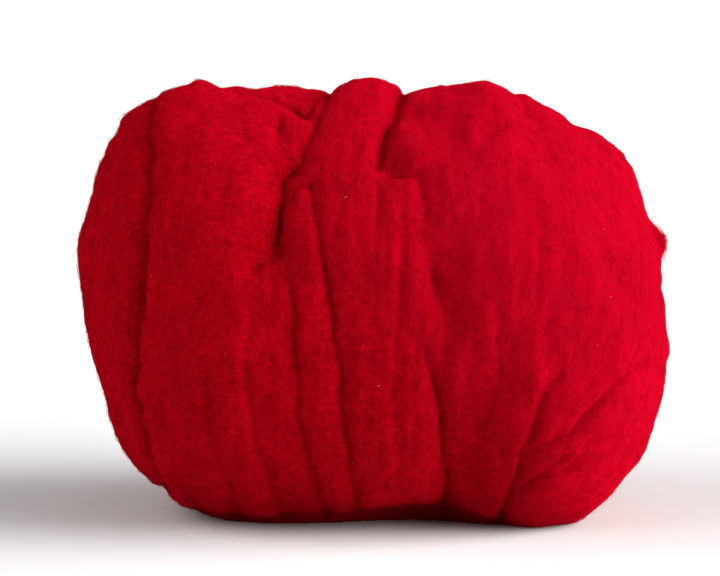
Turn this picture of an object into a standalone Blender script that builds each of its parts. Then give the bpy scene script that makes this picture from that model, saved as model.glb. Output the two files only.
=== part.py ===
"""A ball of carded wool sliver for felting, wound on itself, as one closed solid.

x runs left to right along the axis that the sliver is wound round, y to the back, z up.
A place on the ball is given by two angles, in degrees, seen from the middle of the ball.
bearing: 0 at the left end, 90 halfway along, 180 at the right end.
around: 0 at the front, 90 at the crown, 180 at the back, -90 or 270 underneath.
"""

from collections import namedtuple

import bpy
import numpy as np

# Millimetres to metres
MM = 0.001

# Height of the middle of the ball above the table, in mm
MIDDLE_HEIGHT = 87

# How far the cross-section halfway along is squarer than an ellipse
SQUARENESS = 0.15

# Grid of the surface
ROWS_ALONG = 84
STEPS_AROUND = 60

# Radius of the rounded bottom of every crease, in mm
CREASE_ROUNDING = 2.0

# Height below which the ball's own weight presses its creases shut, in mm
PRESSED_HEIGHT = 12

# Points that a crease is drawn through, between its end points
CREASE_STEPS = 36

WOOL_COLOUR = (0.55, 0.003, 0.014, 1)
WOOL_ROUGHNESS = 0.95

# Distance from the middle of the ball to its surface, in mm
Outline = namedtuple("Outline", "bearing above below front behind")
OUTLINE = (
    Outline(0, 120, 120, 120, 120),
    Outline(15, 128, 115, 125, 123),
    Outline(30, 131, 122, 125, 124),
    Outline(45, 128, 118, 121, 120),
    Outline(60, 107, 106, 108, 107),
    Outline(75, 94, 96, 99, 98),
    Outline(90, 93, 92, 96, 95),
    Outline(105, 95, 94, 98, 98),
    Outline(120, 104, 106, 107, 106),
    Outline(135, 113, 118, 116, 115),
    Outline(150, 122, 127, 123, 122),
    Outline(165, 122, 126, 124, 123),
    Outline(180, 118, 118, 118, 118),
)

# Creases between turns: depth in mm at the start, middle and end, and how far the sides slope away
Crease = namedtuple("Crease", "name start middle end reach path")
CREASES = (
    Crease(
        "left_turn", 4, 6, 4, 6,
        ((44, 86), (43.2, 60), (43, 40), (40.5, 22), (38.2, 1), (37.8, -18), (39, -34), (43, -60)),
    ),
    Crease("left_turn_back", 4, 6, 3, 7, ((43, 300), (35, 235), (37, 180), (42, 130), (44, 86))),
    Crease("left_rim", 2, 4, 2, 6, ((36, 100), (34.5, 72), (31, 61), (25, 45), (21.8, 27))),
    Crease("left_cap", 2, 4, 2, 6, ((22, 300), (24, 250), (20, 200), (22, 150))),
    Crease("ridge_foot", 1, 3, 4, 6, ((53.5, -3), (53.8, -17), (55.2, -32), (57.2, -45), (59, -80))),
    Crease(
        "ridge_side", 2, 4, 5, 5,
        ((63, 15), (62, 9), (61.1, 1), (60.8, -10), (62, -25), (65.5, -47), (69, -90)),
    ),
    Crease("ridge_back", 5, 6, 5, 7, ((54.8, 87), (56, 130), (58, 180), (62, 225), (69, 270))),
    Crease("lip", 2, 4, 6, 4, ((54.8, 87), (58.2, 79), (62.5, 76), (67, 72), (69.8, 68.5), (72.3, 65))),
    Crease("lip_right", 5, 3, 1, 4, ((72.3, 65), (74, 69.5), (75.2, 80), (76, 90))),
    Crease("nick", 1, 4, 1, 4, ((67, 69), (67, 59), (66.8, 50.5))),
    Crease("cleft", 4, 8, 4, 5, ((69.5, 44), (67.8, 40.5), (66.8, 33), (66, 26), (65, 20), (62.5, 15))),
    Crease(
        "rope_left", 5, 4, 5, 6,
        ((80, 100), (78.5, 86), (78, 72), (76.2, 61), (74.5, 54.5), (72.5, 48), (69.8, 43)),
    ),
    Crease("rope_back", 5, 6, 5, 7, ((88, 270), (88, 230), (85, 190), (82, 140), (80, 100))),
    Crease(
        "narrow_left", 2, 4.5, 5, 5,
        ((69, 18), (70.2, 10.5), (71, 3), (71.5, -10), (73, -26), (76.5, -49), (79, -85)),
    ),
    Crease(
        "narrow_right", 3, 5, 6, 5,
        ((73.8, 38), (75, 31), (76.8, 20), (79.8, 1), (81.8, -19), (84, -39), (88, -90)),
    ),
    Crease(
        "rope_right", 4, 7, 5, 5,
        ((99, 120), (97.5, 95), (95, 70.5), (92.5, 60), (91.2, 52), (90.3, 44)),
    ),
    Crease("rope_right_back", 5, 6, 5, 7, ((110, 270), (104, 215), (101, 170), (99, 120))),
    Crease(
        "finger_tip", 3, 4, 2, 5,
        ((92, 39.2), (94.8, 40.5), (97.5, 40), (99.5, 38), (100.5, 34), (101, 23)),
    ),
    Crease("finger_right", 2, 4, 2, 5, ((101, 23), (102.2, 17.5), (103.8, 12.5), (105, 8), (105.5, 3))),
    Crease(
        "finger_line", 1, 3, 1, 5,
        ((95.8, 30), (95.6, 22), (95.2, 15), (94.8, 4), (94.2, -16), (95, -45)),
    ),
    Crease(
        "foot_dark", 1.5, 6, 5, 5,
        ((101.5, -3), (103.2, -10), (104.8, -16.5), (106.5, -30), (107.5, -39), (110, -90)),
    ),
    Crease("shoulder_split", 1, 3, 3, 6, ((118.8, 8), (118.2, -4), (117.5, -17), (115.8, -31), (114, -60))),
    Crease(
        "gather", 1, 4, 8, 4,
        (
            (150, -15.5), (145, -17.5), (139, -23.5), (132.8, -29.5), (128, -32),
            (123.8, -35.5), (122, -42), (119.5, -54.5), (118.5, -70),
        ),
    ),
    Crease(
        "fan_edge", 0, 2, 4, 4,
        ((137.8, 0.8), (133.2, -6.2), (129.5, -13.2), (126.8, -18.8), (124.5, -29.5), (122.8, -34.8)),
    ),
    Crease("fan_mid", 0, 3, 4, 4, ((134, -34.5), (131, -36.2), (128, -37.5), (125, -42))),
    Crease(
        "wrap_edge", 0.5, 2, 0.5, 6,
        ((134, 88), (140, 80), (143, 67), (146.2, 60), (151, 56), (158.8, 37.5)),
    ),
    Crease("shoulder_top", 2, 3, 2, 6, ((124, 180), (122, 130), (124, 90), (126, 70))),
    Crease("shoulder_back", 4, 6, 4, 7, ((122, 270), (127, 220), (124, 180))),
    Crease("right_end_back", 3, 6, 3, 7, ((138, 262), (146, 230), (150, 185), (145, 150), (140, 110))),
    Crease("end_fold", 1, 6, 1, 7, ((156, 14), (164.4, 22), (174, 90), (164.4, 158), (149, 169))),
    Crease("middle_back", 2, 5, 2, 6, ((76, 240), (74, 200), (73, 165), (72, 120))),
)

# Swellings and, with a minus, hollows: place, size across and along the turns and height, in mm
Swell = namedtuple("Swell", "name bearing around across along rise")
SWELLS = (
    Swell("left_ridge", 56, 5, 9, 60, 3),
    Swell("left_crown", 53, 88, 18, 30, 1),
    Swell("layer_behind", 69, 106, 9, 20, 1.5),
    Swell("rope_crown", 88, 88, 13, 26, 4.5),
    Swell("right_crown", 118, 94, 12, 26, 4.5),
    Swell("sunk_layer", 101, 60, 9, 17, -3),
    Swell("pocket", 94.5, 44, 4, 6, -5),
    Swell("wing", 100, 68, 3, 7, -2.5),
    Swell("cleft_floor", 67, 21, 5, 8, -3),
    Swell("hollow_strip", 66, -22, 5, 35, -1),
    Swell("dark_patch", 106, 14, 5, 12, -3),
    Swell("shoulder", 137, 25, 40, 40, 3),
    Swell("foot_strand", 131, -58, 24, 22, 8),
    Swell("foot_hollow", 112, -36, 10, 26, -8),
    Swell("foot_gap", 100, -63, 20, 10, -5),
    Swell("left_end", 9, 90, 10, 20, 3),
    Swell("left_end_dip", 20, 90, 7, 14, -2),
    Swell("left_top_lump", 36, 88, 4, 16, 2.5),
    Swell("left_top_dip", 48, 92, 4, 12, -1.5),
    Swell("left_shoulder", 53, 90, 4, 12, 2.5),
    Swell("crown_notch", 61, 92, 3, 10, -2.5),
    Swell("left_waist", 9, -90, 8, 12, -6.5),
    Swell("right_crown_lump", 115, 92, 4, 10, 1.5),
    Swell("right_slope_lump", 126, 92, 4, 10, 1.5),
    Swell("right_top_dip", 138, 90, 5, 14, -1),
    Swell("right_dip", 158, 90, 8, 22, -4.5),
    Swell("right_bump", 167, 90, 4, 9, 2.5),
    Swell("right_knob", 161, 49, 3.5, 6, 3.5),
    Swell("right_end", 172, -90, 8, 14, 4.5),
    Swell("right_foot", 128, -80, 20, 20, 5),
)


def hermite(at, places, values, level_ends=False):
    """Smooth curve through the values given at rising places."""
    places = np.asarray(places, float)
    values = np.asarray(values, float)
    slopes = np.gradient(values, places, axis=0)
    if level_ends:
        slopes[[0, -1]] = 0
    k = np.clip(np.searchsorted(places, at, side="right") - 1, 0, len(places) - 2)
    gap = places[k + 1] - places[k]
    t = (at - places[k]) / gap
    if values.ndim > 1:
        t, gap = t[:, None], gap[:, None]
    return (
        (1 + 2 * t) * (1 - t) ** 2 * values[k]
        + t * (1 - t) ** 2 * gap * slopes[k]
        + t**2 * (3 - 2 * t) * values[k + 1]
        + t**2 * (t - 1) * gap * slopes[k + 1]
    )


def plain_radius(bearing, around):
    """Distance from the middle to the ball as it would be with no creases."""
    level = np.abs(np.cos(np.radians(around)))
    upright = np.sin(np.radians(around))
    bearings = [row.bearing for row in OUTLINE]
    above, below, front, behind = (
        hermite(bearing, bearings, [getattr(row, side) for row in OUTLINE], level_ends=True)
        for side in ("above", "below", "front", "behind")
    )
    high = np.where(upright >= 0, above, below)
    wide = np.where(np.cos(np.radians(around)) >= 0, front, behind)
    power = 2 + SQUARENESS * np.sin(np.radians(bearing)) ** 2
    return ((level / wide) ** power + (np.abs(upright) / high) ** power) ** (-1 / power)


def placed(bearing, around, radius):
    """The point at this distance from the middle, in mm, with the middle at the origin."""
    b = np.radians(bearing)
    a = np.radians(around)
    return np.stack(
        [
            -radius * np.cos(b),
            -radius * np.sin(b) * np.cos(a),
            radius * np.sin(b) * np.sin(a),
        ],
        axis=-1,
    )


def crease_drop(points, crease):
    """How far a crease lowers each point: deepest on its line, sloping away over its reach."""
    stations = np.arange(len(crease.path))
    fine = np.linspace(0, len(crease.path) - 1, CREASE_STEPS)
    bearing, around = hermite(fine, stations, crease.path).T
    line = placed(bearing, around, plain_radius(bearing, around))
    best = np.full(len(points), np.inf)
    share = np.zeros(len(points))
    for k, (start, end) in enumerate(zip(line[:-1], line[1:])):
        run = end - start
        t = np.clip((points - start) @ run / (run @ run), 0, 1)
        gap = np.linalg.norm(points - start - t[:, None] * run, axis=1)
        nearer = gap < best
        best[nearer] = gap[nearer]
        share[nearer] = (k + t[nearer]) / (CREASE_STEPS - 1)
    depth = np.interp(share, (0, 0.5, 1), (crease.start, crease.middle, crease.end))
    rounded = np.hypot(best, CREASE_ROUNDING) - CREASE_ROUNDING
    return depth * np.exp(-rounded / crease.reach)


def swell_rise(bearing, around, radius, swell):
    """Height that one swelling adds, falling off like a bell to each side."""
    across = radius * np.radians(bearing - swell.bearing)
    turn = (around - swell.around + 180) % 360 - 180
    along = radius * np.sin(np.radians(bearing)) * np.radians(turn)
    return swell.rise * np.exp(-0.5 * ((across / swell.across) ** 2 + (along / swell.along) ** 2))


def ball_points(bearing, around):
    """Points of the ball's surface in mm, with the table at z = 0."""
    plain = plain_radius(bearing, around)
    smooth = placed(bearing, around, plain)
    drops = sum(crease_drop(smooth, crease) ** 2 for crease in CREASES)
    rises = sum(swell_rise(bearing, around, plain, swell) for swell in SWELLS)
    pressed = np.clip((smooth[:, 2] + MIDDLE_HEIGHT) / PRESSED_HEIGHT, 0, 1)
    points = placed(bearing, around, plain + rises - pressed * np.sqrt(drops))
    points[:, 2] = np.maximum(points[:, 2] + MIDDLE_HEIGHT, 0)
    return points


def ball_mesh():
    """Rows of points from the left end to the right, closed by one point at each end."""
    rows = np.linspace(0, 180, ROWS_ALONG + 1)[1:-1]
    steps = np.arange(STEPS_AROUND) * 360 / STEPS_AROUND
    bearing, around = (grid.ravel() for grid in np.meshgrid(rows, steps, indexing="ij"))
    bearing = np.concatenate([bearing, [0, 180]])
    around = np.concatenate([around, [0, 0]])
    points = ball_points(bearing, around)
    faces = []
    for row in range(len(rows) - 1):
        for step in range(STEPS_AROUND):
            a = row * STEPS_AROUND + step
            b = row * STEPS_AROUND + (step + 1) % STEPS_AROUND
            faces.append((a, a + STEPS_AROUND, b + STEPS_AROUND, b))
    left, right = len(points) - 2, len(points) - 1
    last = (len(rows) - 1) * STEPS_AROUND
    for step in range(STEPS_AROUND):
        after = (step + 1) % STEPS_AROUND
        faces.append((left, step, after))
        faces.append((right, last + after, last + step))
    return points, faces


def wool_material():
    """Matt dyed wool."""
    material = bpy.data.materials.new("dyed_wool")
    material.use_nodes = True
    shader = material.node_tree.nodes["Principled BSDF"]
    shader.inputs["Base Color"].default_value = WOOL_COLOUR
    shader.inputs["Roughness"].default_value = WOOL_ROUGHNESS
    shader.inputs["Metallic"].default_value = 0
    return material


def add_ball():
    """The ball as one mesh, with the origin under the middle of its box."""
    points, faces = ball_mesh()
    middle = (points.min(axis=0) + points.max(axis=0)) / 2
    points = points - (middle[0], middle[1], 0)
    mesh = bpy.data.meshes.new("wool_ball")
    mesh.from_pydata((points * MM).tolist(), [], faces)
    mesh.shade_smooth()
    mesh.materials.append(wool_material())
    ball = bpy.data.objects.new("wool_ball", mesh)
    bpy.context.scene.collection.objects.link(ball)


for old in list(bpy.data.objects):
    bpy.data.objects.remove(old)
add_ball()
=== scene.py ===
# %% [markdown]
# # A ball of felting wool
# The object is a long sliver of carded wool, dyed crimson and wound on itself into an oval ball.
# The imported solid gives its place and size. Here the solid gets the surface that shows: a finer
# skin with the same turns and creases, layers of loose fibres over it, and a few bits of straw.

from collections import namedtuple
import math

import bpy
import numpy as np
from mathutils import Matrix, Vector


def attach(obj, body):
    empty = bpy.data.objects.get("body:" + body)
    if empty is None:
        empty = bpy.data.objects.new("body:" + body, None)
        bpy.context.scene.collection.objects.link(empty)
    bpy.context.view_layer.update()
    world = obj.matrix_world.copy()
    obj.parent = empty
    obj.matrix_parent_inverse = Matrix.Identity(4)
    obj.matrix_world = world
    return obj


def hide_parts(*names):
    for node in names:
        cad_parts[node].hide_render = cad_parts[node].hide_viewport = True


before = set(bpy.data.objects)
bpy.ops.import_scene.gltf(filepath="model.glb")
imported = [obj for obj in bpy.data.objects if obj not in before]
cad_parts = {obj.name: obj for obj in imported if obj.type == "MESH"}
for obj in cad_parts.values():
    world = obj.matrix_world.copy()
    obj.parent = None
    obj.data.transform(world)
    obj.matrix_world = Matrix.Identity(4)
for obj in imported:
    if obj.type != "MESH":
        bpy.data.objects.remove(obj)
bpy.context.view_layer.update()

MM = 0.001
BODY = "root"
NODE = "wool_ball"

# %% [markdown]
# ## The camera
# It stands in front of the ball, a little above it, and far off with a long lens, so that the
# ball's sides are drawn almost without perspective, as in a product photograph.

# %% Camera
DISTANCE = 1.3
ELEVATION = math.radians(6.5)
AIM = Vector((-0.0060, 0, 0.0945))
SENSOR_MM = 36
FRAME_WIDTH_M = 0.3038


def add_camera():
    """A camera whose frame is FRAME_WIDTH_M wide where it is aimed."""
    data = bpy.data.cameras.new("camera")
    data.sensor_width = SENSOR_MM
    data.lens = SENSOR_MM * DISTANCE / FRAME_WIDTH_M
    data.clip_end = 100
    camera = bpy.data.objects.new("camera", data)
    away = Vector((0, -math.cos(ELEVATION), math.sin(ELEVATION)))
    camera.location = AIM + DISTANCE * away
    camera.rotation_euler = (-away).to_track_quat("-Z", "Y").to_euler()
    bpy.context.scene.collection.objects.link(camera)
    bpy.context.scene.camera = camera
    return data.lens


print("lens in mm", round(add_camera(), 1))

# %% [markdown]
# ## The form of the ball
# A place on the ball is given by two angles seen from its middle. The bearing runs from 0 at the
# left end to 180 at the right end. The angle around runs from 0 at the front over 90 at the crown
# and 180 at the back to 270 underneath, so the sliver is wound along it. The outline table gives
# the distance from the middle to the surface, and the creases and swellings are set into that.
# The ball could also be sculpted by hand, but in tables every turn keeps its name and its size,
# so one crease can be moved or deepened without touching its neighbours.

# %% Tables of the form, in degrees and millimetres
Outline = namedtuple("Outline", "bearing above below front behind")
OUTLINE = (
    Outline(0, 120, 120, 120, 120),
    Outline(15, 128, 115, 125, 123),
    Outline(30, 131, 122, 125, 124),
    Outline(45, 128, 118, 121, 120),
    Outline(60, 107, 106, 108, 107),
    Outline(75, 94, 96, 99, 98),
    Outline(90, 93, 92, 96, 95),
    Outline(105, 95, 94, 98, 98),
    Outline(120, 104, 106, 107, 106),
    Outline(135, 113, 118, 116, 115),
    Outline(150, 122, 127, 123, 122),
    Outline(165, 122, 126, 124, 123),
    Outline(180, 118, 118, 118, 118),
)

# Depth at the start, middle and end; how far the sides slope away; how dark the slit's painted
# shade is; and how much higher the wool lies to the right of a path down the front, or with a minus
# to its left. The path is a row of places, each a bearing and an angle around.
Crease = namedtuple("Crease", "name start middle end reach slit step path")
CREASES = (
    Crease(
        "left_turn", 2.5, 5, 3, 3, 0.9, 0.8,
        ((44, 86), (43.2, 60), (43, 40), (40.5, 22), (38.2, 1), (37.8, -18), (39, -34), (43, -60)),
    ),
    Crease(
        "left_turn_back", 3, 4.5, 1.5, 3.5, 0.5, 0.8,
        ((43, 300), (35, 235), (37, 180), (42, 130), (44, 86)),
    ),
    Crease("left_rim", 1, 2.5, 1, 3, 0.4, 0.8, ((36, 100), (34.5, 72), (31, 61), (25, 45), (21.8, 27))),
    Crease("left_cap", 2, 4, 2, 4, 0.3, 1, ((22, 300), (24, 250), (20, 200), (22, 150))),
    Crease("left_foot", 0.5, 1.5, 1.5, 3, 0.2, -0.8, ((46.5, -37), (47.5, -45), (48.8, -57), (50, -71))),
    Crease(
        "ridge_foot", 0.5, 1.8, 2, 3, 0.3, -0.8,
        ((53.5, -3), (53.8, -17), (55.2, -32), (57.2, -45), (59, -80)),
    ),
    Crease(
        "ridge_side", 0.8, 1.5, 2, 4, 0.2, -1.8,
        ((63, 15), (62, 9), (61.1, 1), (60.8, -10), (62, -25), (65.5, -47), (69, -90)),
    ),
    Crease("ridge_back", 4, 5, 3, 5, 0.5, -1, ((54.8, 87), (56, 130), (58, 180), (62, 225), (69, 270))),
    Crease(
        "lip", 1, 3, 5, 3, 0.4, -2,
        ((54.8, 87), (58.2, 79), (62.5, 76), (67, 72), (69.8, 68.5), (72.3, 65)),
    ),
    Crease("lip_right", 4, 2, 1, 3, 0.2, -1.5, ((72.3, 65), (74, 69.5), (75.2, 80), (76, 90))),
    Crease("nick", 0.8, 2.5, 0.8, 2.5, 0.4, -0.5, ((67, 69), (67, 59), (66.8, 50.5))),
    Crease(
        "cleft", 3.5, 8, 3.5, 5, 0.8, -2,
        ((69.5, 44), (67.8, 40.5), (66.8, 33), (66, 26), (65, 20), (62.5, 15)),
    ),
    Crease(
        "rope_left", 3, 2.5, 6, 6, 0.15, 3,
        ((80, 100), (78.5, 86), (78, 72), (76.2, 61), (74.5, 54.5), (72.5, 48), (69.8, 43)),
    ),
    Crease("rope_back", 5, 5, 5, 5, 0.5, 1, ((88, 270), (88, 230), (85, 190), (82, 140), (80, 100))),
    Crease("strand_tip", 3, 3, 3, 2.5, 0.3, -0.5, ((69.5, 34.5), (70.2, 36.8), (72.5, 38), (73.8, 37.5))),
    Crease(
        "narrow_right", 2.5, 3, 1.8, 2, 0.7, -0.8,
        ((73.8, 38), (75, 31), (76.8, 20), (79.8, 1), (81.8, -19), (84, -39), (88, -90)),
    ),
    Crease(
        "narrow_left", 1.5, 2.5, 2, 2.5, 0.7, 1,
        ((69, 18), (70.2, 10.5), (71, 3), (71.5, -10), (73, -26), (76.5, -49), (79, -85)),
    ),
    Crease(
        "rope_right", 3.5, 7, 6, 4.5, 0.5, -2,
        ((99, 120), (97.5, 95), (95, 70.5), (92.5, 60), (91.2, 52), (90.3, 44)),
    ),
    Crease("rope_line", 2.5, 2, 1, 3, 0.3, -1, ((90.2, 42), (90, 38), (90, 31), (89.5, 24.5))),
    Crease("rope_right_back", 5, 5, 5, 5, 0.5, 1, ((110, 270), (104, 215), (101, 170), (99, 120))),
    Crease(
        "finger_tip", 3, 3, 1, 3.5, 0.3, -1.5,
        ((92, 39.2), (94.8, 40.5), (97.5, 40), (99.5, 38), (100.5, 34), (101, 23)),
    ),
    Crease(
        "finger_right", 1, 3, 1, 4, 0.15, -1.5,
        ((101, 23), (102.2, 17.5), (103.8, 12.5), (105, 8), (105.5, 3)),
    ),
    Crease(
        "finger_line", 0.5, 1.5, 0.5, 2.5, 0.4, -0.6,
        ((95.8, 30), (95.6, 22), (95.2, 15), (94.8, 4), (94.2, -16), (95, -45)),
    ),
    Crease(
        "foot_dark", 1.5, 4.5, 4, 3.5, 0.8, -1.2,
        ((101.5, -3), (103.2, -10), (104.8, -16.5), (106.5, -30), (107.5, -39), (110, -90)),
    ),
    Crease(
        "shoulder_split", 1, 2, 1.5, 5, 0.1, 0.5,
        ((118.8, 8), (118.2, -4), (117.5, -17), (115.8, -31), (114, -60)),
    ),
    Crease(
        "gather", 0.5, 2.2, 5, 2.5, 1.1, 2.8,
        (
            (150, -15.5), (145, -17.5), (139, -23.5), (132.8, -29.5), (128, -32),
            (123.8, -35.5), (122, -42), (119.5, -54.5), (118.5, -70),
        ),
    ),
    Crease(
        "fan_edge", 0.3, 1.5, 3, 2.5, 1.2, 0.8,
        ((137.8, 0.8), (133.2, -6.2), (129.5, -13.2), (126.8, -18.8), (124.5, -29.5), (122.8, -34.8)),
    ),
    Crease(
        "fan_low", 0.3, 2.2, 3.5, 2.2, 1.5, 1.8,
        ((138.2, -41.8), (131.8, -41.2), (128, -41.5), (124.2, -43), (121.5, -48.2)),
    ),
    Crease("fan_mid", 0.3, 1.5, 2, 2.5, 1.2, 1, ((134, -34.5), (131, -36.2), (128, -37.5), (125, -42))),
    Crease("fan_high", 0, 1.5, 0, 3, 0.2, 0.8, ((150, 5), (143, -1), (138, -6), (134, -11))),
    Crease("front_fold", 0, 1.5, 1, 5, 0.1, 1, ((111.5, 20), (110, 8), (107.8, -1.5), (106.2, -11))),
    Crease(
        "shoulder_fold", 0, 1.5, 0.5, 4, 0.1, -0.8,
        ((122, 18), (120, 8), (119, -6), (118.5, -20), (118, -38)),
    ),
    Crease("left_fold", 0, 1.5, 0.5, 3.5, 0.1, 0.8, ((51, 3), (49, -7), (48, -14), (46, -26), (45, -44))),
    Crease(
        "wrap_edge", 0.5, 1.5, 0.5, 4, 0.15, 1,
        ((134, 88), (140, 80), (143, 67), (146.2, 60), (151, 56), (158.8, 37.5)),
    ),
    Crease("crown_streak", 0, 1.2, 0, 3, 0.1, -1.2, ((112.5, 49), (115.5, 53), (118.5, 56.5), (122, 61))),
    Crease("shoulder_top", 2, 3, 2, 5, 0.2, 0.5, ((124, 180), (122, 130), (124, 90), (126, 70))),
    Crease("shoulder_back", 3, 5, 4, 5, 0.4, 1, ((122, 270), (127, 220), (124, 180))),
    Crease(
        "right_end_back", 3, 5, 3, 5, 0.5, -1,
        ((138, 262), (146, 230), (150, 185), (145, 150), (140, 110)),
    ),
    Crease("end_fold", 0.5, 6, 1, 6, 0.1, 0, ((156, 14), (164.4, 22), (174, 90), (164.4, 158), (149, 169))),
    Crease("right_cap", 1, 3, 1, 4, 0.3, 0.8, ((158, 290), (163, 240), (166, 180), (163, 115))),
    Crease("right_cap_end", 0.5, 2, 0.5, 3.5, 0.2, 0.6, ((172, 200), (169, 270), (166, 320), (168, 350))),
    Crease("middle_back", 2, 4, 2, 5, 0.4, 1, ((76, 240), (74, 200), (73, 165), (72, 120))),
)

# Place, size across and along the turns, and height; a hollow has a minus
Swell = namedtuple("Swell", "name bearing around across along rise")
SWELLS = (
    Swell("left_ridge", 56, 5, 9, 60, 3),
    Swell("left_crown", 53, 88, 18, 30, 1),
    Swell("layer_behind", 69, 106, 9, 20, 1.5),
    Swell("rope_crown", 88, 88, 13, 26, 4.5),
    Swell("right_crown", 118, 94, 12, 26, 4.5),
    Swell("sunk_layer", 101, 60, 9, 17, -3),
    Swell("pocket", 94.5, 44, 4, 6, -5),
    Swell("wing", 100, 68, 3, 7, -2.5),
    Swell("cleft_floor", 67, 21, 5, 8, -3),
    Swell("hollow_strip", 66, -22, 5, 35, -1),
    Swell("dark_patch", 106, 14, 5, 12, -3),
    Swell("shoulder", 137, 25, 40, 40, 3),
    Swell("foot_strand", 131, -58, 24, 22, 8),
    Swell("foot_hollow", 112, -36, 10, 26, -8),
    Swell("foot_gap", 100, -63, 20, 10, -5),
    Swell("left_end", 9, 90, 10, 20, 3),
    Swell("left_end_dip", 20, 90, 7, 14, -2),
    Swell("left_top_lump", 36, 88, 4, 16, 2.5),
    Swell("left_top_dip", 48, 92, 4, 12, -1.5),
    Swell("left_shoulder", 53, 90, 4, 12, 2.5),
    Swell("crown_notch", 61, 92, 3, 10, -2.5),
    Swell("left_waist", 9, -90, 8, 12, -6.5),
    Swell("right_crown_lump", 115, 92, 4, 10, 1.5),
    Swell("right_slope_lump", 126, 92, 4, 10, 1.5),
    Swell("right_top_dip", 138, 90, 5, 14, -1),
    Swell("right_dip", 158, 90, 8, 22, -4.5),
    Swell("right_bump", 167, 90, 4, 9, 2.5),
    Swell("right_knob", 161, 49, 3.5, 6, 3.5),
    Swell("right_end", 172, -90, 8, 14, 4.5),
    Swell("right_foot", 128, -80, 20, 20, 5),
)
print(len(CREASES), "creases,", len(SWELLS), "swellings")

# %% [markdown]
# A table has a row only every 15 degrees. A curve of cubic pieces passes through its values with
# no corners. Straight pieces would show as flats on the ball, and one single polynomial would
# swing about between the rows.

# %% Smooth curve through a table


def smooth_curve(at, places, values, level_ends=False):
    """Cubic pieces that pass through the values, with slopes taken from the neighbours.

    With t from 0 to 1 between the values p and q, and their slopes m and n:
    (1 + 2t)(1 - t)^2 p + t(1 - t)^2 gap m + t^2(3 - 2t) q + t^2(t - 1) gap n
    """
    places = np.asarray(places, float)
    values = np.asarray(values, float)
    slopes = np.gradient(values, places, axis=0)
    if level_ends:
        slopes[[0, -1]] = 0
    k = np.clip(np.searchsorted(places, at, side="right") - 1, 0, len(places) - 2)
    gap = places[k + 1] - places[k]
    t = (at - places[k]) / gap
    if values.ndim > 1:
        t, gap = t[:, None], gap[:, None]
    return (
        (1 + 2 * t) * (1 - t) ** 2 * values[k]
        + t * (1 - t) ** 2 * gap * slopes[k]
        + t**2 * (3 - 2 * t) * values[k + 1]
        + t**2 * (t - 1) * gap * slopes[k + 1]
    )


print("halfway between 0, 1 and 4:", smooth_curve(np.array([0.5, 1.5]), (0, 1, 2), (0, 1, 4)))

# %% The ball with no creases
SQUARENESS = 0.15


def plain_radius(bearing, around):
    """Distance from the middle: the four outlines joined round the ball by a squarish ellipse.

    radius = ((|cos a| / wide)^n + (|sin a| / high)^n)^(-1 / n), with n a little over 2
    """
    level = np.abs(np.cos(np.radians(around)))
    upright = np.sin(np.radians(around))
    bearings = [row.bearing for row in OUTLINE]
    above, below, front, behind = (
        smooth_curve(bearing, bearings, [getattr(row, side) for row in OUTLINE], level_ends=True)
        for side in ("above", "below", "front", "behind")
    )
    high = np.where(upright >= 0, above, below)
    wide = np.where(np.cos(np.radians(around)) >= 0, front, behind)
    power = 2 + SQUARENESS * np.sin(np.radians(bearing)) ** 2
    return ((level / wide) ** power + (np.abs(upright) / high) ** power) ** (-1 / power)


def direction(bearing, around):
    """Unit vector from the middle: (-cos b, -sin b cos a, sin b sin a)."""
    b = np.radians(bearing)
    a = np.radians(around)
    return np.stack([-np.cos(b), -np.sin(b) * np.cos(a), np.sin(b) * np.sin(a)], axis=-1)


def placed(bearing, around, radius):
    """The point at this distance from the middle, in mm, with the middle at the origin."""
    return direction(bearing, around) * np.asarray(radius)[..., None]


print("plain ball's width in mm", plain_radius(np.array([0, 180]), np.zeros(2)).sum().round(1))

# %% [markdown]
# Two turns that lie against each other leave a groove and, at its bottom, a slit where the
# wool is pressed together. Mostly one turn lies a little over the other, so there is a step too.
# The slit is also kept as a mark for painted shade: the wool's colour is darkened along it as the
# shade in the slit. Each crease is a curve over the ball, and every point of the skin looks for its
# nearest place on it: the grooves are then as long, as deep and as curved as they are drawn, which a
# displacement picture would need many pixels for.

# %% Creases and swellings
CREASE_STEPS = 36
CREASE_ROUNDING = 0.6
SLIT_DEPTH, SLIT_WIDTH, FULL_DEPTH = 1.8, 1.0, 6
STEP_WIDTH, STEP_REACH = 1.2, 8


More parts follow.
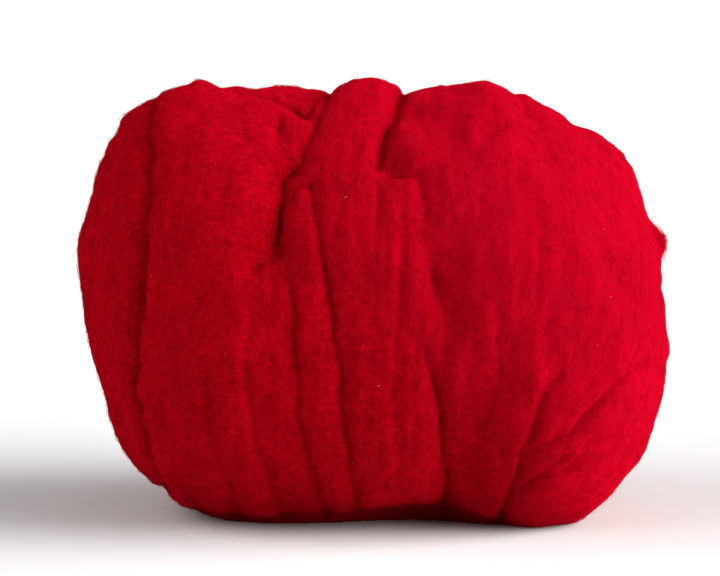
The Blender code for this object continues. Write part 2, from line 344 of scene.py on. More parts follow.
def crease_cut(points, crease):
    """The depth of the crease's groove, the painted shade of its slit and the height of its step.

    groove = depth * exp(-distance / reach)
    slit = darkness * exp(-(distance / slit width)^2)
    step = height / 2 * sqrt(sin(pi * share)) * tanh(side / step width) * exp(-distance / step reach)
    Here share runs from 0 to 1 along the path, and side is the distance to the path's right.
    """
    stations = np.arange(len(crease.path))
    fine = np.linspace(0, len(crease.path) - 1, CREASE_STEPS)
    bearing, around = smooth_curve(fine, stations, crease.path).T
    line = placed(bearing, around, plain_radius(bearing, around))
    best = np.full(len(points), np.inf)
    share = np.zeros(len(points))
    side = np.zeros(len(points))
    for k, (start, end) in enumerate(zip(line[:-1], line[1:])):
        run = end - start
        t = np.clip((points - start) @ run / (run @ run), 0, 1)
        offset = points - start - t[:, None] * run
        gap = np.linalg.norm(offset, axis=1)
        nearer = gap < best
        best[nearer] = gap[nearer]
        share[nearer] = (k + t[nearer]) / (CREASE_STEPS - 1)
        rightward = np.cross(start, run) / np.linalg.norm(np.cross(start, run))
        side[nearer] = offset[nearer] @ rightward
    depth = np.interp(share, (0, 0.5, 1), (crease.start, crease.middle, crease.end))
    rounded = np.hypot(best, CREASE_ROUNDING) - CREASE_ROUNDING
    slit = crease.slit * np.minimum(depth / FULL_DEPTH, 1) * np.exp(-((best / SLIT_WIDTH) ** 2))
    step = crease.step / 2 * np.sin(np.pi * share) ** 0.5 * np.tanh(side / STEP_WIDTH)
    return depth * np.exp(-rounded / crease.reach), slit, step * np.exp(-best / STEP_REACH)


def swell_rise(bearing, around, radius, swell):
    """Height that one swelling adds: rise * exp(-((across / size)^2 + (along / size)^2) / 2)."""
    across = radius * np.radians(bearing - swell.bearing)
    turn = (around - swell.around + 180) % 360 - 180
    along = radius * np.sin(np.radians(bearing)) * np.radians(turn)
    return swell.rise * np.exp(-0.5 * ((across / swell.across) ** 2 + (along / swell.along) ** 2))


deepest = max(CREASES, key=lambda crease: crease.middle)
print("deepest crease:", deepest.name, deepest.middle, "mm")

# %% [markdown]
# ## The lay of the wool
# Carded fibres lie mostly along the sliver. Over most of the ball that is the way round, but at
# the lower right the last turns are gathered at the foot and fan out from there. Both the relief
# and the loose fibres follow this lay.

# %% Lay of the sliver
GATHER_X, GATHER_Z = 57, -75
FAN_FULL, FAN_NONE = 62, 80
FAN_REACH, FAN_END = 75, 125
FAN_FRONT, FAN_BACK = -10, 30


def smoothstep(value, low, high):
    """0 below low, 1 above high, and an easy slope between them."""
    t = np.clip((value - low) / (high - low), 0, 1)
    return t * t * (3 - 2 * t)


def fan(points):
    """How much each point belongs to the gathered fan, its angle there and its distance."""
    east = points[:, 0] - GATHER_X
    up = points[:, 2] - GATHER_Z
    angle = np.degrees(np.arctan2(up, east))
    distance = np.hypot(east, up)
    share = 1 - smoothstep(angle, FAN_FULL, FAN_NONE)
    share *= 1 - smoothstep(distance, FAN_REACH, FAN_END)
    share *= 1 - smoothstep(points[:, 1], FAN_FRONT, FAN_BACK)
    return share, angle, distance


def lay_angle(points, bearing, around):
    """Turn of the fibres, in radians, from the way round towards the right end.

    It is the direction away from the gather, split into its parts to the right and onward round
    the ball, and taken by the fan's share.
    """
    share, angle, _ = fan(points)
    b, a = np.radians(bearing), np.radians(around)
    east, up = np.cos(np.radians(angle)), np.sin(np.radians(angle))
    rightward = east * np.sin(b) + up * np.cos(b) * np.sin(a)
    onward = up * np.cos(a)
    return share * np.arctan2(rightward, onward)


print("the last turns gather", GATHER_X, "mm right of the middle and", -GATHER_Z, "mm below it")

# %% [markdown]
# ## Fine relief
# Between the creases the sliver isn't smooth: it is lumpy, and its fibres lie in thin uneven
# bundles. That relief is noise on a lattice that is much longer along the lay than across it.
# Blender's own noise could do it in a Displace modifier, but it is even in all directions, and
# the bundles have to run with the lay.

# %% Noise on a lattice


def lattice_noise(u, v, cells, seed):
    """Random numbers from -1 to 1 at whole u and v, eased between by s^2(3 - 2s).

    It repeats after the given number of cells each way, so it meets itself round the ball.
    """
    table = np.random.default_rng(seed).uniform(-1, 1, cells)
    i, j = np.floor(u).astype(int), np.floor(v).astype(int)
    s, t = u - i, v - j
    s, t = s * s * (3 - 2 * s), t * t * (3 - 2 * t)
    i, j, rows, columns = i % cells[0], j % cells[1], *cells
    low = table[i, j] * (1 - t) + table[i, (j + 1) % columns] * t
    high = table[(i + 1) % rows, j] * (1 - t) + table[(i + 1) % rows, (j + 1) % columns] * t
    return low * (1 - s) + high * s


# %% Relief of lumps and bundles
LUMP_MM, BUNDLE_MM, STRAND_MM = 0.9, 0.45, 0.2

# Size of a cell across the lay and along it, the number of cells each way, and the seed. Sizes are
# in degrees, but in mm along the fan.
Unevenness = namedtuple("Unevenness", "across along cells seed")
LUMPS = (
    (1, Unevenness(9, 10, (40, 36), 1)),
    (0.6, Unevenness(4, 6, (45, 60), 6)),
    (0.3, Unevenness(2, 3, (90, 120), 8)),
)
BUNDLES = Unevenness(2.6, 18, (90, 20), 2)
STRANDS = Unevenness(1.3, 10, (160, 36), 3)
FANNED_BUNDLES = Unevenness(5, 30, (90, 20), 4)
FANNED_STRANDS = Unevenness(2.2, 18, (180, 30), 5)
WANDERS = tuple(Unevenness(4, 5, (60, 72), seed) for seed in (31, 32, 33))
SLIT_BREAKS = Unevenness(2, 5, (90, 72), 7)


def unevenness(kind, across, along):
    """The lattice noise of this kind, from -1 to 1."""
    return lattice_noise(across / kind.across, along / kind.along, kind.cells, kind.seed)


def relief(points, bearing, around):
    """Lumps, plus bundles and strands that run along the lay, in mm."""
    share, angle, distance = fan(points)
    lumps = sum(part * unevenness(kind, bearing, around) for part, kind in LUMPS)
    bundles = share * unevenness(FANNED_BUNDLES, angle, distance)
    bundles += (1 - share) * unevenness(BUNDLES, bearing, around)
    strands = share * unevenness(FANNED_STRANDS, angle, distance)
    strands += (1 - share) * unevenness(STRANDS, bearing, around)
    return LUMP_MM * lumps + BUNDLE_MM * bundles + STRAND_MM * strands


# %% [markdown]
# The skin is measured once, as a grid of bearings and angles around: at each of them the plain
# radius, the swellings, the steps, the grooves and the relief add up to one distance from the
# middle. The fibres will read their places from the same grid, so they always lie on the skin.

# %% The skin's surface


def stretches(stops, steps):
    """Values from stop to stop, with this many even steps in each stretch."""
    runs = zip(stops[:-1], stops[1:], steps)
    return np.concatenate([np.linspace(a, b, n, endpoint=False) for a, b, n in runs])


# The middle's height over the table, and the height below which grooves are pressed out flat
MIDDLE_HEIGHT, PRESSED_HEIGHT = 87, 3

# The fibres add to the ball's size, so the skin is set in by this much
THINNER = 0.9

# How far the creases wander to either side of a smooth line. A circle round the ball is small near
# its ends, so there they wander less, and the relief is lower.
WANDER = 0.9
WANDER_FADE, RELIEF_FADE = 2, 2.2

# Share of a slit's painted shade that comes and goes along it
SLIT_PATCHES = 0.4

# Painted shade on the wool that is tucked under at the table, as dark as a slit's and full at the
# lower height; like a slit, it also sinks the wool a little
TUCK_SHADE, TUCK_SHADE_LOW, TUCK_SHADE_HIGH = 0.85, 1, 6

# The rows are closest together where the photograph shows the creases
BEARINGS = np.append(stretches((0, 25, 150, 180), (34, 236, 40)), 180)
AROUNDS = stretches((-95, 95, 265), (200, 100))
GRID = (len(BEARINGS), len(AROUNDS))


def skin_grid():
    """Radius in mm over a grid of bearings and angles around, with the grooves and the slits, whose marks
    also carry painted shade.

    radius = plain - thinner + swellings + steps - (groove + depth * slit) + relief
    """
    bearing, around = (g.ravel() for g in np.meshgrid(BEARINGS, AROUNDS, indexing="ij"))
    plain = plain_radius(bearing, around)
    smooth = placed(bearing, around, plain)
    wander = [unevenness(kind, bearing, around) for kind in WANDERS]
    girth = np.sin(np.radians(bearing))
    swing = WANDER * np.minimum(WANDER_FADE * girth, 1)
    uneven = smooth + swing[:, None] * np.stack(wander, axis=-1)
    grooves, slits, steps = zip(*(crease_cut(uneven, crease) for crease in CREASES))
    groove = np.sqrt(sum(each**2 for each in grooves))
    patches = 1 - SLIT_PATCHES + SLIT_PATCHES * unevenness(SLIT_BREAKS, bearing, around)
    slit = np.max(slits, axis=0) * patches
    height = smooth[:, 2] + MIDDLE_HEIGHT
    # Painted shade by the table: the low wool gets a slit's darkness, which also sinks it a little
    slit = np.maximum(slit, TUCK_SHADE * (1 - smoothstep(height, TUCK_SHADE_LOW, TUCK_SHADE_HIGH)))
    rise = sum(swell_rise(bearing, around, plain, swell) for swell in SWELLS)
    pressed = np.clip(height / PRESSED_HEIGHT, 0, 1)
    calm = np.minimum(RELIEF_FADE * girth, 1) ** 2 * (1 - slit)
    radius = plain - THINNER + rise + sum(steps) - pressed * (groove + SLIT_DEPTH * slit)
    radius += calm * relief(smooth, bearing, around)
    return (each.reshape(GRID) for each in (radius, groove, slit))


RADIUS, GROOVE, SLIT = skin_grid()
print("skin from", RADIUS.min().round(1), "to", RADIUS.max().round(1), "mm from its middle")


def sample(grid, bearing, around):
    """Value of the grid at any place, from its four nearest points."""
    u = np.interp(bearing, BEARINGS, np.arange(GRID[0]))
    first = AROUNDS[0]
    whole_turn = np.append(AROUNDS, first + 360)
    v = np.interp((around - first) % 360 + first, whole_turn, np.arange(GRID[1] + 1))
    i, j = np.minimum(u.astype(int), GRID[0] - 2), v.astype(int) % GRID[1]
    s, t, k = u - i, v - np.floor(v), (j + 1) % GRID[1]
    low = grid[i, j] * (1 - t) + grid[i, k] * t
    return low * (1 - s) + (grid[i + 1, j] * (1 - t) + grid[i + 1, k] * t) * s


# %% From angles to metres


def on_ball(bearing, around, proud=0.0, lowest=0.0):
    """Points in metres, this many mm proud of the skin, and never under the table."""
    points = placed(bearing, around, sample(RADIUS, bearing, around) + proud)
    points[..., 2] = np.maximum(points[..., 2] + MIDDLE_HEIGHT, lowest)
    return (points - SHIFT) * MM


# The solid stands with the middle of its box over the origin, so the skin is moved there too
SHIFT = np.zeros(3)
every_degree = np.meshgrid(np.linspace(1, 179, 179), np.arange(360), indexing="ij")
all_round = on_ball(*(g.ravel() for g in every_degree))
SHIFT[:2] = (all_round.min(axis=0) + all_round.max(axis=0))[:2] / 2 / MM
print("the ball is moved by", SHIFT.round(2), "mm to stand over the origin")

# %% [markdown]
# ## Meshes from arrays
# Every piece is worked out as whole arrays of points and faces, which go into the mesh at once.
# A loop that adds one vertex after another would take minutes for a coat of fibres like this one.

# %% Put arrays into a mesh


def add_piece(name, points, face_sets, material):
    """A mesh object from points in metres and arrays of faces; it rides with the ball."""
    points = np.asarray(points, np.float32).reshape(-1, 3)
    corners = np.concatenate([np.asarray(faces).ravel() for faces in face_sets])
    sizes = np.concatenate([np.full(len(faces), faces.shape[1]) for faces in face_sets])
    mesh = bpy.data.meshes.new(name)
    mesh.vertices.add(len(points))
    mesh.vertices.foreach_set("co", points.ravel())
    mesh.loops.add(len(corners))
    mesh.loops.foreach_set("vertex_index", corners.astype(np.int32))
    mesh.polygons.add(len(sizes))
    mesh.polygons.foreach_set("loop_start", (np.cumsum(sizes) - sizes).astype(np.int32))
    mesh.update(calc_edges=True)
    mesh.validate()
    mesh.shade_smooth()
    mesh.materials.append(material)
    piece = bpy.data.objects.new(name, mesh)
    bpy.context.scene.collection.objects.link(piece)
    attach(piece, BODY)
    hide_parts(NODE)
    triangles = int((sizes - 2).sum())
    print(name, len(points), "points,", triangles, "triangles")
    return piece


def set_map(piece, name, per_vertex):
    """A UV map from one pair of numbers for each vertex."""
    mesh = piece.data
    vertex = np.empty(len(mesh.loops), np.int32)
    mesh.loops.foreach_get("vertex_index", vertex)
    layer = mesh.uv_layers.new(name=name)
    layer.data.foreach_set("uv", per_vertex[vertex].astype(np.float32).ravel())


# %% [markdown]
# ## Shader arithmetic
# A finish is easier to read as sums than as wires. A Shade wraps a socket, and arithmetic on it
# adds the Math nodes. A Finish makes any other node from its type, its settings and its inputs.

# %% Shader helpers


class Shade:
    """A number that varies over the surface."""

    def __init__(self, finish, socket):
        self.finish, self.socket = finish, socket

    def math(self, operation, first, second):
        node = self.finish.node("ShaderNodeMath", {"operation": operation}, {0: first, 1: second})
        return self.finish.shade(node)

    def __add__(self, other):
        return self.math("ADD", self, other)

    def __radd__(self, other):
        return self.math("ADD", other, self)

    def __sub__(self, other):
        return self.math("SUBTRACT", self, other)

    def __rsub__(self, other):
        return self.math("SUBTRACT", other, self)

    def __mul__(self, other):
        return self.math("MULTIPLY", self, other)

    def __rmul__(self, other):
        return self.math("MULTIPLY", other, self)

    def __abs__(self):
        return self.math("ABSOLUTE", self, 0)


class Finish:
    """A material with a Principled BSDF, and the nodes that feed it."""

    def __init__(self, name):
        self.material = bpy.data.materials.new(name)
        self.material.use_nodes = True
        self.tree = self.material.node_tree
        self.shader = self.tree.nodes["Principled BSDF"]

    def feed(self, socket, value):
        if isinstance(value, Shade):
            value = value.socket
        if isinstance(value, bpy.types.NodeSocket):
            self.tree.links.new(value, socket)
        else:
            socket.default_value = value

    def node(self, kind, settings=None, inputs=None):
        node = self.tree.nodes.new(kind)
        for name, value in (settings or {}).items():
            setattr(node, name, value)
        for key, value in (inputs or {}).items():
            self.feed(node.inputs[key], value)
        return node

    def set(self, **values):
        for name, value in values.items():
            self.feed(self.shader.inputs[name.replace("_", " ")], value)

    def shade(self, node):
        return Shade(self, node.outputs[0])

    def axes(self, socket):
        parts = self.node("ShaderNodeSeparateXYZ", {}, {0: socket})
        return tuple(Shade(self, out) for out in parts.outputs)

    def attribute(self, name):
        node = self.node("ShaderNodeAttribute", {"attribute_name": name})
        return Shade(self, node.outputs["Fac"])

    def vector(self, x, y, z):
        return self.node("ShaderNodeCombineXYZ", {}, {0: x, 1: y, 2: z}).outputs[0]

    def noise(self, vector, scale=1.0, detail=2.0, roughness=0.5, distortion=0.0):
        inputs = {"Vector": vector, "Scale": scale, "Detail": detail}
        inputs |= {"Roughness": roughness, "Distortion": distortion}
        return self.shade(self.node("ShaderNodeTexNoise", {}, inputs))

    def blend(self, factor, first, second):
        """Colour between two colours."""
        node = self.node("ShaderNodeMix", {"data_type": "RGBA"}, {0: factor, 6: first, 7: second})
        return node.outputs[2]

    def clamped(self, value, low, high, to_low=0.0, to_high=1.0):
        inputs = {0: value, 1: low, 2: high, 3: to_low, 4: to_high}
        return self.shade(self.node("ShaderNodeMapRange", {"clamp": True}, inputs))

    def bump(self, height, distance, strength):
        inputs = {"Height": height, "Distance": distance, "Strength": strength}
        return self.node("ShaderNodeBump", {}, inputs).outputs[0]


# %% [markdown]
# ## Dyed wool
# Carded wool is matt: its light comes from among the fibres, so it has no clear highlight, and it
# keeps its red even in shade. The colour wavers a little from bundle to bundle. It is painted darker
# in the creases as shade, and on the right shoulder, where the light falls full on it, it is painted
# calmer and rosier as a lit tint. Fibres that are too many to model are drawn as hairlines: where a
# noise passes through its middle value it does so along a thin curly line, and a few such noises
# make a tangle. A picture of wool would be quicker, but it would repeat, and it couldn't follow the
# lay.

# %% Finish of the skin
# Painted shade: the dark red of the slits and creases, and of the wool by the table
CREASE_SHADE_RED = (0.10, 0.0001, 0.0008, 1)
DEEP_RED = (0.15, 0.0001, 0.0011, 1)
CLEAR_RED = (0.50, 0.0003, 0.0090, 1)
# Painted light: a rosier red for the lit right shoulder
LIT_ROSY_RED = (0.50, 0.0006, 0.0175, 1)
SHEEN_RED = (1, 0.001, 0.025, 1)
HAIRLINE = 0.035

# How often each pattern changes in a metre; the first three, across the lay and along it
LONG_HAIRS, SHORT_HAIRS, STREAKS = (420, 110), (520, 330), (230, 45)
CLOUDS, FLOCKS, FELT = 50, 260, 650
BUMP_HEIGHT, BUMP_STRENGTH = 0.0008, 0.5

# Painted light: up the right shoulder, where the light falls full, the wool is painted more even and
# in a rosier lit tint: as x + CALM_SLANT * z, in metres, goes from CALM_FROM to CALM_TO, the
# mottling falls to the share CALM
MOTTLE_MEAN = 1.74
CALM_SLANT = 0.7
CALM_FROM, CALM_TO, CALM = 0.03, 0.15, 0.4


def hairlines(finish, vector):
    """1 where the noise passes through its middle value, falling to 0 close by."""
    noise = finish.noise(vector, detail=2, roughness=0.55, distortion=1.0)
    return finish.clamped(abs(noise - 0.5), 0, HAIRLINE, 1, 0)


def wool_finish():
    """Red that varies with the mottling, with painted shade in the grooves and slits and a painted lit tint
    up the right shoulder, and a fine felted bump.
    """
    finish = Finish("dyed_wool_skin_painted_shade_and_light")
    place = finish.node("ShaderNodeTexCoord").outputs["Object"]
    x, y, z = finish.axes(place)
    across, groove, slit = (finish.attribute(name) for name in ("across", "groove", "slit"))
    long_hairs, short_hairs, streaked = (
        finish.vector(across * crosswise, y * lengthwise, z * lengthwise)
        for crosswise, lengthwise in (LONG_HAIRS, SHORT_HAIRS, STREAKS)
    )
    hairs = hairlines(finish, long_hairs) * 0.5 + hairlines(finish, short_hairs) * 0.5
    streaks = finish.noise(streaked, detail=4, distortion=0.6)
    clouds = finish.noise(place, scale=CLOUDS, detail=4)
    flocks = finish.noise(place, scale=FLOCKS, detail=3, distortion=0.5)
    felt = finish.noise(place, scale=FELT, detail=5, roughness=0.75)
    mottle = streaks * 0.5 + clouds * 0.4 + flocks * 0.4 + felt * 1.8 + hairs * 0.55 - MOTTLE_MEAN
    even = finish.clamped(x + z * CALM_SLANT, CALM_FROM, CALM_TO)
    # Painted shade: the tone is lowered a little in the grooves
    tone = mottle * (1 - even * (1 - CALM)) - groove * 0.04
    # Painted light: a rosier lit tint up the right shoulder
    clear = finish.blend(even, CLEAR_RED, LIT_ROSY_RED)
    red = finish.blend(finish.clamped(tone, -0.6, 0.65), DEEP_RED, clear)
    height = felt + hairs * 0.4 + flocks * 0.5 + streaks * 0.3
    finish.set(
        # Painted shade: the slit mark darkens the red towards the crease red
        Base_Color=finish.blend(finish.clamped(slit, 0, 1, 0, 0.8), red, CREASE_SHADE_RED),
        Roughness=0.95,
        Specular_IOR_Level=0.005,
        Sheen_Weight=0.25,
        Sheen_Roughness=0.5,
        Sheen_Tint=SHEEN_RED,
        Normal=finish.bump(height, BUMP_HEIGHT, BUMP_STRENGTH),
    )
    return finish.material


WOOL = wool_finish()
print("finish", WOOL.name, "of", len(WOOL.node_tree.nodes), "nodes")

# %% [markdown]
# ## The skin
# The skin is a grid of rings from the left end to the right, closed by one point at each end. Its
# across attribute counts metres across the lay, so the streaks of the finish run with the fibres.
# Rings suit a wound ball better than a ball of even triangles: their rows run along the turns,
# so a crease stays sharp, and they can be closer together on the side that is seen.

# %% Skin of the ball


def ring_faces(rows, steps):
    """Quads between neighbouring rings, and the two fans that close the ends."""
    row, step = np.meshgrid(np.arange(rows - 1), np.arange(steps), indexing="ij")
    a = (row * steps + step).ravel()
    b = (row * steps + (step + 1) % steps).ravel()
    quads = np.stack([a, a + steps, b + steps, b], axis=1)
    step = np.arange(steps)
    after, last = (step + 1) % steps, (rows - 1) * steps
    left = np.stack([np.full(steps, rows * steps), step, after], axis=1)
    right = np.stack([np.full(steps, rows * steps + 1), last + after, last + step], axis=1)
    return quads, np.concatenate([left, right])


def add_skin():
    """The closed surface of the ball, with its marks for the finish and its map."""
    bearing, around = (g.ravel() for g in np.meshgrid(BEARINGS[1:-1], AROUNDS, indexing="ij"))
    bearing, around = np.append(bearing, (0, 180)), np.append(around, (0, 0))
    faces = ring_faces(GRID[0] - 2, GRID[1])
    skin = add_piece("wool_skin", on_ball(bearing, around), faces, WOOL)
    plain = plain_radius(bearing, around)
    share, angle, distance = fan(placed(bearing, around, plain))
    across = (1 - share) * plain * np.radians(bearing - 90) + share * np.radians(-angle) * distance
    groove, slit = (sample(grid, bearing, around) for grid in (GROOVE, SLIT))
    for name, values in (("across", across * MM), ("groove", groove), ("slit", slit)):
        skin.data.attributes.new(name, "FLOAT", "POINT").data.foreach_set("value", values)
    set_map(skin, "OFBake", np.stack([(around - AROUNDS[0]) / 360, bearing / 180], axis=1))


add_skin()

# %% [markdown]
# ## Loose fibres
# What makes wool look like wool is the layer of single fibres over it. They lie along the sliver
# with a spread of angles, arch a little off the surface and dip back into it. Each is a thin
# tapered tube with three sides, and thousands are worked out at once as arrays. Blender's own hair
# would be quicker to draw, but it isn't a mesh, so it couldn't be exported with the ball.

# %% Paths of the fibres
RINGS = 5
SIDES = 3

# A fibre sways this far to either side, in radians, by this much of a wave from ring to ring
SWAY, SWAY_WAVE = 0.35, 2.1

# The ball is thinner near its ends, so a step round it spans more degrees there, up to this girth
LEAST_GIRTH = 0.15


def fibre_paths(rng, bearing, around, length, spread, crimp):
    """Bearings and angles around of points along each fibre, walked from its start.

    Each step goes sin(turn) across and cos(turn) round, and the turn grows by the fibre's bend.
    """
    plain = plain_radius(bearing, around)
    heading = lay_angle(placed(bearing, around, plain), bearing, around)
    heading = heading + rng.normal(0, spread, len(bearing)) + np.pi * rng.integers(0, 2, len(bearing))
    bend = rng.normal(0, crimp, len(bearing))
    wave = rng.uniform(0, 2 * np.pi, len(bearing))
    step = length / (RINGS - 1)
    path = [(bearing, around)]
    for k in range(RINGS - 1):
        turn = heading + bend * (k - RINGS / 2) + SWAY * np.sin(wave + SWAY_WAVE * k)
        girth = np.maximum(np.sin(np.radians(bearing)), LEAST_GIRTH)
        bearing = np.clip(bearing + np.degrees(step * np.sin(turn) / plain), 1, 179)
        around = around + np.degrees(step * np.cos(turn) / plain / girth)
        path.append((bearing, around))
    return (np.stack(column, axis=1) for column in zip(*path))


# Share of the full width that is left towards a tip, and the length of a tip in widths
TIP_WIDTH, TIP_LENGTH = 0.35, 1.5


def fibre_tubes(points, outward, thickness):
    """Rings of three points round each path, thinner to both ends, and a point at each tip.

    point = path + radius * (side * cos(turn) + up * sin(turn))
    """
    along = np.gradient(points, axis=1)
    along /= np.linalg.norm(along, axis=2, keepdims=True) + 1e-12
    side = np.cross(along, outward)
    side /= np.linalg.norm(side, axis=2, keepdims=True) + 1e-12
    up = np.cross(side, along)
    taper = TIP_WIDTH + (1 - TIP_WIDTH) * np.sin(np.pi * np.linspace(0.08, 0.92, RINGS))
    radius = thickness[:, None, None, None] / 2 * taper[None, :, None, None]
    turn = 2 * np.pi * np.arange(SIDES) / SIDES
    spokes = side[:, :, None] * np.cos(turn)[:, None] + up[:, :, None] * np.sin(turn)[:, None]
    rings = (points[:, :, None] + radius * spokes).reshape(len(points), -1, 3)
    reach = thickness[:, None] * TIP_LENGTH
    tips = np.stack([points[:, 0] - along[:, 0] * reach, points[:, -1] + along[:, -1] * reach], axis=1)
    return np.concatenate([rings, tips], axis=1)


def fibre_faces(count):
    """The faces of one tube, repeated for every fibre."""
    ring, side = np.meshgrid(np.arange(RINGS - 1), np.arange(SIDES), indexing="ij")
    a = (ring * SIDES + side).ravel()
    b = (ring * SIDES + (side + 1) % SIDES).ravel()
    quads = np.stack([a, b, b + SIDES, a + SIDES], axis=1)
    side = np.arange(SIDES)
    after, last, tip = (side + 1) % SIDES, (RINGS - 1) * SIDES, RINGS * SIDES
    first = np.stack([after, side, np.full(SIDES, tip)], axis=1)
    final = np.stack([last + side, last + after, np.full(SIDES, tip + 1)], axis=1)
    caps = np.concatenate([first, final])
    start = np.arange(count)[:, None, None] * (tip + 2)
    return (quads + start).reshape(-1, 4), (caps + start).reshape(-1, 3)


# %% [markdown]
# The fibres differ in tone. Each takes one of 32 tones, and its UV map holds the tone across and
# the length upwards, so one small drawing of tones colours them all. The fibres that stand off
# the ball catch more light than those that lie in it, so this fuzz is painted in paler reds of its
# own, as painted light.

# %% Finish of the fibres
DARK_FIBRE = (0.19, 0.0001, 0.0014, 1)
LIGHT_FIBRE = (0.52, 0.0005, 0.0140, 1)
# Painted light: the fuzz's reds are paler for the extra light that stray fibres catch
DARK_FUZZ = (0.25, 0.0006, 0.006, 1)
LIGHT_FUZZ = (0.62, 0.002, 0.020, 1)
DARK_STRAW = (0.12, 0.05, 0.035, 1)
LIGHT_STRAW = (0.50, 0.36, 0.26, 1)


def fibre_finish(name, dark, light):
    """A colour between dark and light by the fibre's tone, a little darker at its two ends."""
    finish = Finish(name)
    lookup = finish.node("ShaderNodeUVMap", {"uv_map": "OFBake"}).outputs[0]
    tone, length, _ = finish.axes(lookup)
    ends = finish.clamped((length - 0.5) * (length - 0.5), 0.05, 0.25, 0.0, 0.15)
    finish.set(
        Base_Color=finish.blend(finish.clamped(tone - ends, 0, 1), dark, light),
        Roughness=0.9,
        Specular_IOR_Level=0.005,
        Sheen_Weight=0.25,
        Sheen_Roughness=0.5,
        Sheen_Tint=SHEEN_RED,
    )
    return finish.material


FIBRE = fibre_finish("dyed_wool_fibre", DARK_FIBRE, LIGHT_FIBRE)
FUZZ = fibre_finish("dyed_wool_fuzz_painted_light", DARK_FUZZ, LIGHT_FUZZ)
STRAW = fibre_finish("straw", DARK_STRAW, LIGHT_STRAW)
print("finishes", FIBRE.name, FUZZ.name, STRAW.name)

# %% [markdown]
# A fibre's ends are sunk in the wool and its middle arches up. Where it starts in a slit or a
# groove it is given a darker tone as painted shade, and on the calm right shoulder the fibres lie
# closer and their tones are painted to vary less, as the full light there shows less mottling.

# %% Add a layer of fibres
TONES = 32
UNEVEN = 0.25
SLIT_SHADE, GROOVE_SHADE = 0.7, 0.04
CALM_LOWERS = 0.6

# Heights in mm: how deep the ends are sunk, and the lowest that a fibre comes to the table
SUNK, LOWEST = 0.15, 0.35
ARCH_POWER, TIP_POWER = 0.8, 1.6


def add_fibres(layer, rng, bearing, around, material):
    """One piece that holds a fibre for each starting place.

    height = -sunk + lift * sin(pi t)^0.8 + tip lift * t^1.6, with t from 0 to 1 along the fibre.
    Its tone is the layer's, give or take a little, less the shade of the slit or groove below it.
    """
    count = len(bearing)
    ranges = (layer.length, layer.thickness, layer.lift, layer.tip_lift)
    length, thickness, lift, tip_lift = (rng.uniform(low, high, count) for low, high in ranges)
    bearings, arounds = fibre_paths(rng, bearing, around, length, layer.spread, layer.crimp)
    t = np.linspace(0, 1, RINGS)
    start = on_ball(bearing, around)
    even = smoothstep(start[:, 0] + CALM_SLANT * start[:, 2], CALM_FROM, CALM_TO)
    lift = lift * (1 - CALM_LOWERS * even)
    arch = lift[:, None] * np.sin(np.pi * t) ** ARCH_POWER
    proud = -SUNK + arch + tip_lift[:, None] * t**TIP_POWER
    points = on_ball(bearings, arounds, proud, lowest=LOWEST)
    tubes = fibre_tubes(points, direction(bearings, arounds), thickness * MM)
    piece = add_piece(layer.name, tubes, fibre_faces(count), material)
    # Painted shade: a fibre that starts in a slit or a groove is given a darker tone
    shade = SLIT_SHADE * sample(SLIT, bearing, around)
    shade += GROOVE_SHADE * sample(GROOVE, bearing, around)
    # Painted light: the tones spread less up the right shoulder, where the light falls full
    uneven = UNEVEN * (1 - even + CALM * even)
    tone = np.clip(layer.tone + uneven * rng.normal(0, 1, count) - shade, 0, 0.999)
    level = np.floor(tone * TONES)
    side = np.append(np.tile((np.arange(SIDES) + 0.5) / SIDES, RINGS), (0.5, 0.5))
    height = np.append(np.repeat(0.06 + 0.88 * t, SIDES), (0.02, 0.98))
    u = (level[:, None] + 0.1 + 0.8 * side) / TONES
    v = np.broadcast_to(height, u.shape)
    set_map(piece, "OFBake", np.stack([u.ravel(), v.ravel()], axis=1))


# Three times as many places are drawn as are needed, all a little away from the two ends. Each is
# kept by the chance (radius / longest radius)^2, because a farther part of the skin is larger.
DRAWN, ENDS_LEFT_OUT, LONGEST_MM = 3, 0.995, 128


def scattered(rng, count):
    """Places spread evenly over the ball's skin."""
    drawn = DRAWN * count
    bearing = np.degrees(np.arccos(rng.uniform(-ENDS_LEFT_OUT, ENDS_LEFT_OUT, drawn)))
    around = rng.uniform(0, 360, drawn)
    radius = sample(RADIUS, bearing, around)
    keep = rng.uniform(0, 1, drawn) * LONGEST_MM**2 < radius**2
    return bearing[keep][:count], around[keep][:count]


# Lengths, widths and heights above the skin are in mm; spread and crimp are angles in radians
Layer = namedtuple("Layer", "name fibres length thickness spread crimp lift tip_lift tone")
LAYERS = (
    Layer("fibre_layer_1", 5500, (5, 12), (0.12, 0.20), 0.45, 0.18, (0.1, 0.5), (0, 0), 0.62),
    Layer("fibre_layer_2", 5500, (5, 12), (0.12, 0.20), 0.45, 0.18, (0.1, 1.0), (0, 0), 0.62),
    Layer("fibre_tangle_1", 5500, (3, 7), (0.12, 0.20), 1.2, 0.35, (0.1, 0.6), (0, 0), 0.62),
    Layer("fibre_tangle_2", 5500, (3, 7), (0.12, 0.20), 1.2, 0.35, (0.2, 1.2), (0, 0), 0.62),
    Layer("stray_fibres", 4300, (2, 6), (0.06, 0.11), 1.1, 0.35, (0.3, 1.2), (0.2, 1.6), 0.7),
)
for seed, layer in enumerate(LAYERS):
    rng = np.random.default_rng(20 + seed)
    add_fibres(layer, rng, *scattered(rng, layer.fibres), FUZZ if "stray" in layer.name else FIBRE)

# %% [markdown]
# ## Tufts and straw
# A tuft stands off the right end, and a pale lock curls on the front. Carding doesn't take every
# bit of hay out of a fleece, so short bits of straw stay in the wool. Each is a short thick fibre
# in a colour of its own. Six lie where the photograph shows them, and the others are scattered.
# All of them come from the function that laid the coat, with other lengths, widths and heights.

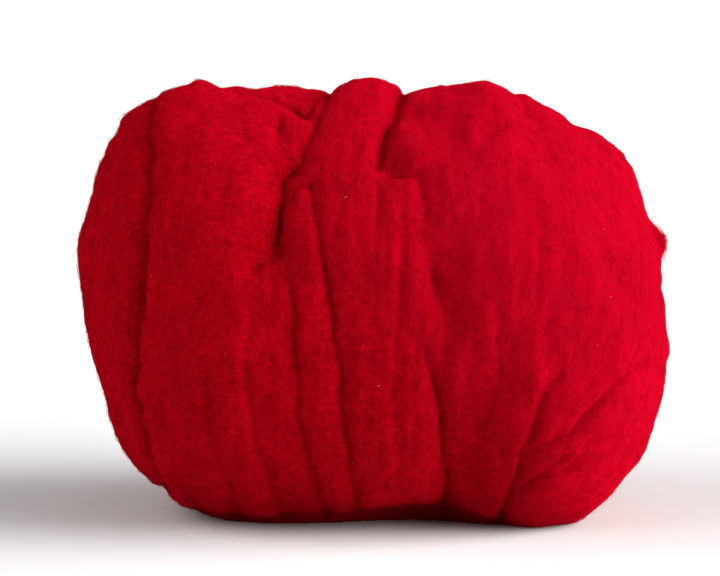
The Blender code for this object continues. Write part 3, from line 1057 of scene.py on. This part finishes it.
# %% Tufts and straw
Spot = namedtuple("Spot", "bearing around size")
TUFTS = (
    (
        Spot(161, 48, 5),
        Layer("right_tuft", 420, (3, 6), (0.08, 0.14), 1.2, 0.5, (0.3, 2.0), (0.4, 2.4), 0.8),
    ),
    (
        Spot(87, -4, 1),
        Layer("pale_curl", 70, (2, 3.5), (0.12, 0.20), 0.4, 0.9, (0.4, 1.3), (0, 0.2), 1.0),
    ),
)
STRAW_SEEN = ((90.2, -12.5), (43.0, 15.0), (83.0, 33.5), (110.0, 34.0), (80.0, 39.8), (139.2, 29.0))
STRAW_LAYER = Layer("straw_bits", 16, (0.6, 1.4), (0.2, 0.4), 1.5, 0.05, (0.5, 0.9), (0, 0), 0.3)


def near(rng, count, spot):
    """Places round one spot, nearly all within its size in mm."""
    across, along = rng.normal(0, spot.size / 2, (2, count))
    radius = plain_radius(np.array([spot.bearing]), np.array([spot.around]))
    girth = np.sin(np.radians(spot.bearing))
    bearing = spot.bearing + np.degrees(across / radius)
    return bearing, spot.around + np.degrees(along / radius / girth)


for seed, (spot, layer) in enumerate(TUFTS):
    rng = np.random.default_rng(40 + seed)
    add_fibres(layer, rng, *near(rng, layer.fibres, spot), FUZZ)
rng = np.random.default_rng(50)
seen = np.transpose(STRAW_SEEN)
bearing, around = (np.append(a, b) for a, b in zip(seen, scattered(rng, STRAW_LAYER.fibres)))
add_fibres(STRAW_LAYER, rng, bearing, around, STRAW)

# %% [markdown]
# ## Floor and light
# A broad light on the right makes the right end the brightest, a soft one overhead lights the
# crown and whitens the floor, and a weak one lifts the left end. Sun lamps with a wide angle act
# like large soft boxes far away, and they light the ball the same wherever it is put.

# %% Floor
FLOOR_SIZE = 60
FLOOR_GREYS = ((0.69, 0.69, 0.69, 1), (0.71, 0.71, 0.71, 1))


def add_floor():
    """A large pale table that the ball stands on, for the picture only."""
    finish = Finish("pale_floor")
    place = finish.node("ShaderNodeTexCoord").outputs["Object"]
    grain = finish.noise(place, scale=6, detail=2)
    finish.set(
        Base_Color=finish.blend(grain, *FLOOR_GREYS),
        Roughness=0.9,
        Specular_IOR_Level=0.1,
    )
    mesh = bpy.data.meshes.new("floor")
    half = FLOOR_SIZE / 2
    corners = [(-half, -half, 0), (half, -half, 0), (half, half, 0), (-half, half, 0)]
    mesh.from_pydata(corners, [], [(0, 1, 2, 3)])
    mesh.materials.append(finish.material)
    floor = bpy.data.objects.new("floor", mesh)
    bpy.context.scene.collection.objects.link(floor)


add_floor()
print("floor of", FLOOR_SIZE, "metres")

# %% Lights
Lamp = namedtuple("Lamp", "name towards spread power")
LAMPS = (
    Lamp("right", (0.94, -0.18, 0.30), math.radians(60), 9.1),
    Lamp("overhead", (0.20, -0.28, 0.94), math.radians(80), 0.5),
    Lamp("left", (-0.84, -0.22, 0.50), math.radians(60), 2.3),
)
AMBIENT = 0.08


def add_lights():
    """The lamps, each turned to shine from its place to the origin, and a faint even sky."""
    for lamp in LAMPS:
        data = bpy.data.lights.new(lamp.name, "SUN")
        data.energy = lamp.power
        data.angle = lamp.spread
        light = bpy.data.objects.new(lamp.name, data)
        light.location = lamp.towards
        light.rotation_euler = (-Vector(lamp.towards)).to_track_quat("-Z", "Y").to_euler()
        bpy.context.scene.collection.objects.link(light)
    world = bpy.data.worlds.new("studio")
    world.use_nodes = True
    background = world.node_tree.nodes["Background"]
    background.inputs["Color"].default_value = (1, 1, 1, 1)
    background.inputs["Strength"].default_value = AMBIENT
    bpy.context.scene.world = world
    bpy.context.scene.view_settings.view_transform = "Standard"


add_lights()
print(len(LAMPS), "lamps:", [(lamp.name, lamp.power) for lamp in LAMPS])
